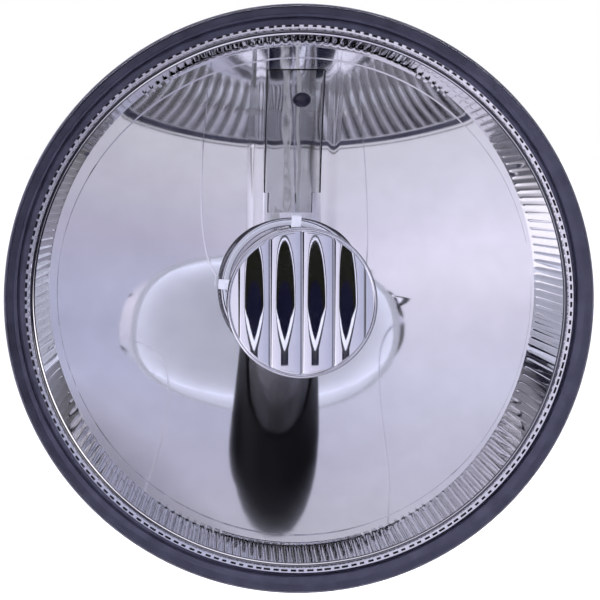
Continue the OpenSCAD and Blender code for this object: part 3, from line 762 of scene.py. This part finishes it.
STRIP_HALF = 5.65 * MM
STRIP_LOW = 15.2 * MM
STRIP_HIGH = 43.1 * MM
STRIP_LIFT = 0.1 * MM
STRIP_T = 0.2 * MM
STRIP_FLAT = 0.955           # share of the width inside the bevelled edges, which carry painted shade
BEVEL_T = 0.1                # thickness at those edges, as a share of STRIP_T
NOTCH_Z = 19.2 * MM          # below this the strip is narrower
NOTCH_LEFT, NOTCH_RIGHT = 0.8 * MM, 1.6 * MM
PIN_R = 1.75 * MM
PIN_FLAT = 0.55              # height of the pin's round head, as a share of its radius
PIN_Z = 37.5 * MM
PIN_LEFT = 0.7 * MM          # how far the pin sits left of its CAD node
PIN_FOOT = 0.25 * MM


def strip_half_at(z, side):
    """Half width of the strip: it steps in beside the collar, more on the right."""
    return STRIP_HALF - (NOTCH_RIGHT if side > 0 else NOTCH_LEFT) * (z < NOTCH_Z)


def make_strip():
    rows = np.concatenate([np.linspace(STRIP_LOW, NOTCH_Z - 0.02 * MM, 16),
                           np.linspace(NOTCH_Z, STRIP_HIGH, 90)])
    across = np.concatenate([[-1], np.linspace(-STRIP_FLAT, STRIP_FLAT, 39), [1]])
    thick = np.where(np.abs(across) > STRIP_FLAT, BEVEL_T, 1.0)
    verts = []
    for layer in (1, 0):
        for z in rows:
            x = across * np.where(across > 0, strip_half_at(z, 1), strip_half_at(z, -1))
            # marks of the rollers that made the sheet
            rolled = 0.004 * MM * np.sin(x / (0.62 * MM) + 40 * z) * np.sin(z / (2.3 * MM))
            w = bowl_at(np.zeros_like(x), np.full_like(x, z)) + STRIP_LIFT
            verts.append(on_strip(x, w + layer * thick * (STRIP_T + rolled), z))
    n, m = len(rows), len(across)
    faces = grid_faces(n, m, wrap_cols=False) + grid_faces(n, m, wrap_cols=False, start=n * m)
    rim = [i * m for i in range(n)] + [(n - 1) * m + j for j in range(1, m)]
    rim += [i * m + m - 1 for i in range(n - 2, -1, -1)] + list(range(m - 2, 0, -1))
    for a, b in zip(rim, rim[1:] + rim[:1]):
        faces.append((a, b, b + n * m, a + n * m))
    sheet = link("heat_strip_sheet", np.concatenate(verts), faces)
    install(smooth(outward(sheet)), "heat_strip", "head", "strip_metal")
    # Painted shade: the bevelled side edges of the strip get the near-black dark_edge colour.
    sheet.data.materials.append(MATERIALS["dark_edge"])
    for polygon in sheet.data.polygons:
        half = strip_half_at(polygon.center.z, polygon.center.x)
        polygon.material_index = int(abs(polygon.center.x) > STRIP_FLAT * half)


def on_strip(x, w, z):
    """One row of points across the strip at height z."""
    return np.stack([x, VERTEX_Y - w, np.full_like(x, z)], -1)


def make_pin():
    low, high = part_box("heat_strip_pin")
    under = float(bowl_at(np.float64(0), np.float64(PIN_Z)))
    seat = Vector(((low.x + high.x) / 2 - PIN_LEFT,
                   VERTEX_Y - under - STRIP_LIFT - STRIP_T, PIN_Z))
    crown = [(r, PIN_FLAT * h) for r, h in arc((0, 0), PIN_R, 0, 90, 12)]
    outline = [(0, -PIN_FOOT), (PIN_R - 0.15 * MM, -PIN_FOOT)] + crown[:-1] + [(0, crown[-1][1])]
    slope = math.atan((PIN_Z - LOW_Z) / (2 * FOCAL_TOP))
    head = lathe("heat_strip_pin_head", outline, 64, closed=False, sharp_deg=50)
    for v in head.data.vertices:
        local = Vector((v.co.x, v.co.y - VERTEX_Y, v.co.z))
        local.rotate(Matrix.Rotation(slope, 3, "X"))
        v.co = seat + local
    install(head, "heat_strip_pin", "head", "pin_plastic")


# ---------------------------------------------------------------- bulb shield and collar

CAP_R = 14 * MM
CAP_FRONT = VERTEX_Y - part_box("bulb_shield")[0].y
CAP_FACE_R = 13.35 * MM
SKIRT_BACK = 43.6 * MM
SKIRT_T = 0.7 * MM
SKIRT_ROUND = 0.35 * MM      # round front edge of the skirt
FACE_T = 0.2 * MM
RIB_PITCH = 5.9 * MM
RIB_HALF = 2.95 * MM
RIB_CROWN = 20.0             # 1/m: half the curvature of a rib's broad middle
RIB_EDGE = 0.26 * MM         # extra fall at a rib's edge
RIB_BARREL = 1.9             # 1/m: half the curvature along a rib
CAP_CHAMFER = 0.25           # slope of the plain parts beside the ribs
CAP_BACK_W = 43.8 * MM       # depth of the pillow-shaped back at its middle
CAP_PILLOW = 13.4            # 1/m: half the curvature of that back
LEG_ANGLES = [math.radians(a) for a in (86, 176, 356)]
LEG_R, LEG_T, LEG_WIDE = 13.5 * MM, 0.12 * MM, 0.35 * MM
LEG_FOOT_W = 3.6 * MM


def cap_height(x, z):
    """Depth of the ribbed face behind its highest point."""
    local = (x / RIB_PITCH - np.floor(x / RIB_PITCH) - 0.5) * RIB_PITCH
    fall = RIB_CROWN * local ** 2 + RIB_EDGE * (local / RIB_HALF) ** 10
    beyond = np.abs(x) - 2 * RIB_PITCH
    fall = np.where(beyond > 0, RIB_CROWN * RIB_HALF ** 2 + RIB_EDGE + CAP_CHAMFER * beyond, fall)
    return fall + RIB_BARREL * z * z


def make_cap():
    xs = np.unique(np.concatenate([
        np.linspace(-CAP_FACE_R * 0.999, CAP_FACE_R * 0.999, 241),
        [k * RIB_PITCH for k in (-2, -1, 0, 1, 2)]]))
    verts, rows = [], 61
    for x in xs:
        reach = math.sqrt(CAP_FACE_R ** 2 - x * x)
        z = np.linspace(-reach, reach, rows)
        w = CAP_FRONT - cap_height(np.full(rows, x), z)
        verts.append(np.stack([np.full(rows, x), VERTEX_Y - w, z], -1))
    face = link("shield_face", np.concatenate(verts),
                grid_faces(len(xs), rows, wrap_cols=False))
    for polygon in face.data.polygons:
        if polygon.normal.y > 0:
            polygon.flip()
    solid = face.modifiers.new("thickness", "SOLIDIFY")
    solid.thickness = FACE_T
    solid.offset = -1
    smooth(face, 40)
    radii = np.linspace(CAP_R - 0.65 * MM, 0, 40)
    pillow = [(r, CAP_BACK_W + CAP_PILLOW * r * r) for r in radii]
    dish = lathe("shield_dish", [(0, CAP_BACK_W + 2.4 * MM)] + pillow, 192, closed=False,
                 sharp_deg=40)
    edge = (CAP_R - SKIRT_ROUND, CAP_FRONT - 2 * SKIRT_ROUND)
    outline = arc(edge, SKIRT_ROUND, 180, 0, 9)
    outline += [(CAP_R, SKIRT_BACK + 0.2 * MM), (CAP_R - 0.2 * MM, SKIRT_BACK),
                (CAP_R - SKIRT_T + 0.1 * MM, SKIRT_BACK),
                (CAP_R - SKIRT_T, SKIRT_BACK + 0.2 * MM)]
    skirt = lathe("shield_skirt", outline, 192)
    legs = blocks("shield_legs", [
        block(a, (LEG_R - LEG_T / 2, LEG_R + LEG_T / 2), LEG_WIDE, LEG_FOOT_W,
              SKIRT_BACK + 2 * MM) for a in LEG_ANGLES], 0.02 * MM)
    for piece in (face, dish, skirt, legs):
        install(piece, "bulb_shield", "head", "shield_chrome")
    # The pillow-shaped back and the inside of the skirt take the white satin with its painted glow.
    dish.data.materials[0] = MATERIALS["shield_inside"]
    recolour(skirt, "shield_inside", lambda r, w: (
        r < CAP_R - 0.1 * MM and w < CAP_FRONT - 1 * MM))


def block(centre, radial, width, w_low, w_high):
    """Corners of a small block that faces the axis at angle centre."""
    out = Vector((math.cos(centre), 0, math.sin(centre)))
    along = Vector((-math.sin(centre), 0, math.cos(centre)))
    return [out * r + along * s + Vector((0, VERTEX_Y - w, 0))
            for w in (w_low, w_high) for r in radial for s in (-width / 2, width / 2)]


BLOCK_FACES = [(0, 1, 3, 2), (4, 6, 7, 5), (0, 4, 5, 1), (2, 3, 7, 6), (0, 2, 6, 4), (1, 5, 7, 3)]


def blocks(name, corners, bevel):
    """One piece of several blocks, with bevelled edges."""
    verts, faces = [], []
    for eight in corners:
        faces += [tuple(len(verts) + i for i in f) for f in BLOCK_FACES]
        verts += eight
    return soften(outward(link(name, verts, faces)), bevel)


def soften(obj, width):
    """Bevels the sharp edges of a piece."""
    made = obj.modifiers.new("soft_edges", "BEVEL")
    made.width = width
    made.segments = 2
    made.limit_method = "ANGLE"
    made.angle_limit = math.radians(40)
    made.harden_normals = False
    return obj


COLLAR_IN, COLLAR_OUT = 11.6 * MM, 14.2 * MM
COLLAR_BACK_W, COLLAR_BASE_W, COLLAR_FACE_W = -1.7 * MM, 2 * MM, 3.0 * MM
TUBE_OUT = 12.45 * MM        # outside of the collar's tube behind its flange
TAB_WIDE = 1.92 * MM


def make_collar():
    outline = [(COLLAR_IN, COLLAR_BACK_W), (TUBE_OUT, COLLAR_BACK_W), (TUBE_OUT, COLLAR_BASE_W),
               (COLLAR_OUT - 0.2 * MM, COLLAR_BASE_W), (COLLAR_OUT, COLLAR_BASE_W + 0.2 * MM),
               (COLLAR_OUT, COLLAR_FACE_W)]
    outline += arc((COLLAR_OUT - 0.45 * MM, COLLAR_FACE_W), 0.45 * MM, 0, 90, 5)
    outline += [(COLLAR_IN + 1 * MM, COLLAR_FACE_W + 0.3 * MM)]
    outline += arc((COLLAR_IN + 0.5 * MM, COLLAR_FACE_W + 0.1 * MM), 0.5 * MM, 90, 180, 6)
    ring = lathe("collar_ring", outline, 192)
    tabs = blocks("collar_tabs", [
        block(a, (12 * MM, 14.6 * MM), TAB_WIDE, COLLAR_FACE_W - 0.4 * MM, 4.15 * MM)
        for a in LEG_ANGLES], 0.12 * MM)
    for piece in (ring, tabs):
        install(piece, "shield_collar", "head", "shield_chrome")
    # The tabs take the white satin with its painted glow.
    tabs.data.materials[0] = MATERIALS["shield_inside"]
    # Painted shade: above its flange's foot, the collar's outer side and its inner edge and bore
    # get the near-black dark_edge colour.
    recolour(ring, "dark_edge", lambda r, w: (
        w > COLLAR_BASE_W + 0.1 * MM
        and not COLLAR_IN + 0.4 * MM < r < COLLAR_OUT - 0.15 * MM))


# ---------------------------------------------------------------- bulb

TIP_H = 3.5 * MM             # height of the glass's round end
GLASS_T = 1 * MM
COAT_OUT, COAT_IN = 0.15 * MM, 0.01 * MM  # the black coating's faces, off the glass
WIRE_R, COIL_R = 0.13 * MM, 0.7 * MM
COIL_TURNS, TURN_STEPS = 9, 16


def tube(name, path, radius, sides=10):
    """A round wire along a list of points."""
    path = [Vector(p) for p in path]
    verts = []
    side = (path[1] - path[0]).normalized().orthogonal().normalized()
    for i, point in enumerate(path):
        ahead = (path[min(i + 1, len(path) - 1)] - path[max(i - 1, 0)]).normalized()
        side = (side - ahead * side.dot(ahead)).normalized()
        up = ahead.cross(side)
        for k in range(sides):
            a = TAU * k / sides
            verts.append(point + (side * math.cos(a) + up * math.sin(a)) * radius)
    faces = grid_faces(len(path), sides) + end_faces(len(path), sides)
    return smooth(outward(link(name, verts, faces)), 60)


def end_faces(rows, cols):
    """The two end faces of a tube of rows rings with cols points each."""
    return [tuple(range(cols)), tuple(range((rows - 1) * cols, rows * cols))]


def rounded_end(r, height, tip, steps=20):
    """Outline of a flattened dome from its foot at radius r to its tip on the axis."""
    turn = np.linspace(0, math.pi / 2, steps)
    points = [(r * math.cos(a), tip - height + height * math.sin(a)) for a in turn[:-1]]
    return points + [(0, tip)]


def make_bulb():
    low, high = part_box("bulb_glass")
    foot, tip, r = VERTEX_Y - high.y, VERTEX_Y - low.y, high.x
    shell = [(r, foot)] + rounded_end(r, TIP_H, tip)
    hollow = rounded_end(r - GLASS_T, TIP_H - GLASS_T, tip - GLASS_T)[::-1]
    glass = lathe("bulb_envelope", shell + hollow + [(r - GLASS_T, foot)], 96, sharp_deg=40)
    install(glass, "bulb_glass", "bulb", "bulb_glass")
    start = VERTEX_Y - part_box("bulb_tip")[1].y
    skin = [(r + COAT_OUT, start + 0.1 * MM)]
    skin += rounded_end(r + COAT_OUT, TIP_H + COAT_OUT, tip + COAT_OUT)
    skin += rounded_end(r + COAT_IN, TIP_H + COAT_IN, tip + COAT_IN)[::-1]
    skin += [(r + COAT_IN, start)]
    black = lathe("bulb_coating", skin, 96, sharp_deg=40)
    install(black, "bulb_tip", "bulb", "black_coating")
    low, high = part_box("filament")
    steps = COIL_TURNS * TURN_STEPS
    path = []
    for i in range(steps + 1):
        a = TAU * i / TURN_STEPS
        y = high.y - WIRE_R - (high.y - low.y - 2 * WIRE_R) * i / steps
        path.append((COIL_R * math.cos(a), y, COIL_R * math.sin(a)))
    install(tube("filament_coil", path, WIRE_R), "filament", "bulb", "tungsten")


# ---------------------------------------------------------------- aim screw

PLATE_FRONT = -8.7 * MM      # where the thread ends in front of the bracket's plate
THREAD_PITCH, THREAD_STEPS = 1.0 * MM, 48
THREAD_ROOT, THREAD_CREST = 2.18 * MM, 2.5 * MM
SHANK_R, SCREW_COLLAR_R = 2.45 * MM, 5.2 * MM
HEAD_T, SCREW_COLLAR_T = 3.6 * MM, 1 * MM
HEX_R = 4.5 * MM             # radius to the corners of the screw's head


def make_adjuster():
    """The aim screw, with its thread, hexagon head and collar."""
    low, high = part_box("adjuster_screw")
    z = (low.z + high.z) / 2
    head_front = high.y - HEAD_T
    thread = screw_thread(low.y, z)
    outline = [
        (0, PLATE_FRONT + 0.05 * MM), (SHANK_R - 0.05 * MM, PLATE_FRONT + 0.05 * MM),
        (SHANK_R, PLATE_FRONT + 0.3 * MM), (SHANK_R, head_front - SCREW_COLLAR_T),
        (SCREW_COLLAR_R - 0.2 * MM, head_front - SCREW_COLLAR_T),
        (SCREW_COLLAR_R, head_front - SCREW_COLLAR_T + 0.2 * MM),
        (SCREW_COLLAR_R, head_front - 0.2 * MM), (SCREW_COLLAR_R - 0.2 * MM, head_front),
        (0, head_front)]
    shank = lathe("adjuster_shank", [(r, VERTEX_Y - y) for r, y in outline], 64,
                  closed=False, height=z)
    for piece in (thread, shank, hex_head(z, head_front, high.y)):
        install(piece, "adjuster_screw", "adjuster", "zinc_steel")


def screw_thread(front, z):
    """The thread from the plate to its tapered front end."""
    length = PLATE_FRONT - front
    rows = int(length / THREAD_PITCH * 8)
    verts = []
    for i in range(rows + 1):
        y = PLATE_FRONT - length * i / rows
        taper = 0.75 + 0.25 * min(1.0, (y - front) / (0.8 * MM) + 0.35)
        for k in range(THREAD_STEPS):
            a = TAU * k / THREAD_STEPS
            phase = ((PLATE_FRONT - y) / THREAD_PITCH + k / THREAD_STEPS) % 1.0
            tooth = min(1.0, 1.4 * (1 - abs(2 * phase - 1)))
            r = (THREAD_ROOT + (THREAD_CREST - THREAD_ROOT) * tooth) * taper
            verts.append((r * math.cos(a), y, z + r * math.sin(a)))
    faces = grid_faces(rows + 1, THREAD_STEPS) + end_faces(rows + 1, THREAD_STEPS)
    return smooth(outward(link("adjuster_thread", verts, faces)), 50)


def hex_head(z, front, back):
    """A hexagon head whose back corners are turned off."""
    verts = []
    for r, y in ((HEX_R, front), (HEX_R, back - 0.5 * MM), (HEX_R * 0.86, back)):
        for k in range(6):
            a = TAU * k / 6
            verts.append((r * math.cos(a), y, z + r * math.sin(a)))
    head = link("adjuster_head", verts, grid_faces(3, 6) + end_faces(3, 6))
    return soften(outward(head), 0.15 * MM)


# ---------------------------------------------------------------- assembly

make_reflector()
make_lens()
make_seal()
make_strip()
make_pin()
make_cap()
make_collar()
make_bulb()
make_adjuster()

# Width in mm of the bevels on the CAD nodes that are shown as they are.
SOFT_EDGES = {"housing": 0.35, "bracket": 0.4, "bracket_spacers": 0.3, "bulb_holder": 0.3,
              "pivot_screws": 0.2, "reflector_screws": 0.15, "pivot_bushes": 0.12,
              "adjuster_bush": 0.12, "adjuster_clip": 0.15, "vent_cap": 0.25,
              "adjuster_nut": 0.2, "bulb_ferrule": 0.2, "bulb_terminals": 0.1}

for name, obj in frame["nodes"].items():
    if not obj.hide_render:
        slot_name = next(s["material_slot"] for s in frame["record"]["subparts"]
                         if s["node"] == name)
        dress(obj, slot_name)
        if name in SOFT_EDGES:
            soften(obj, SOFT_EDGES[name] * MM)
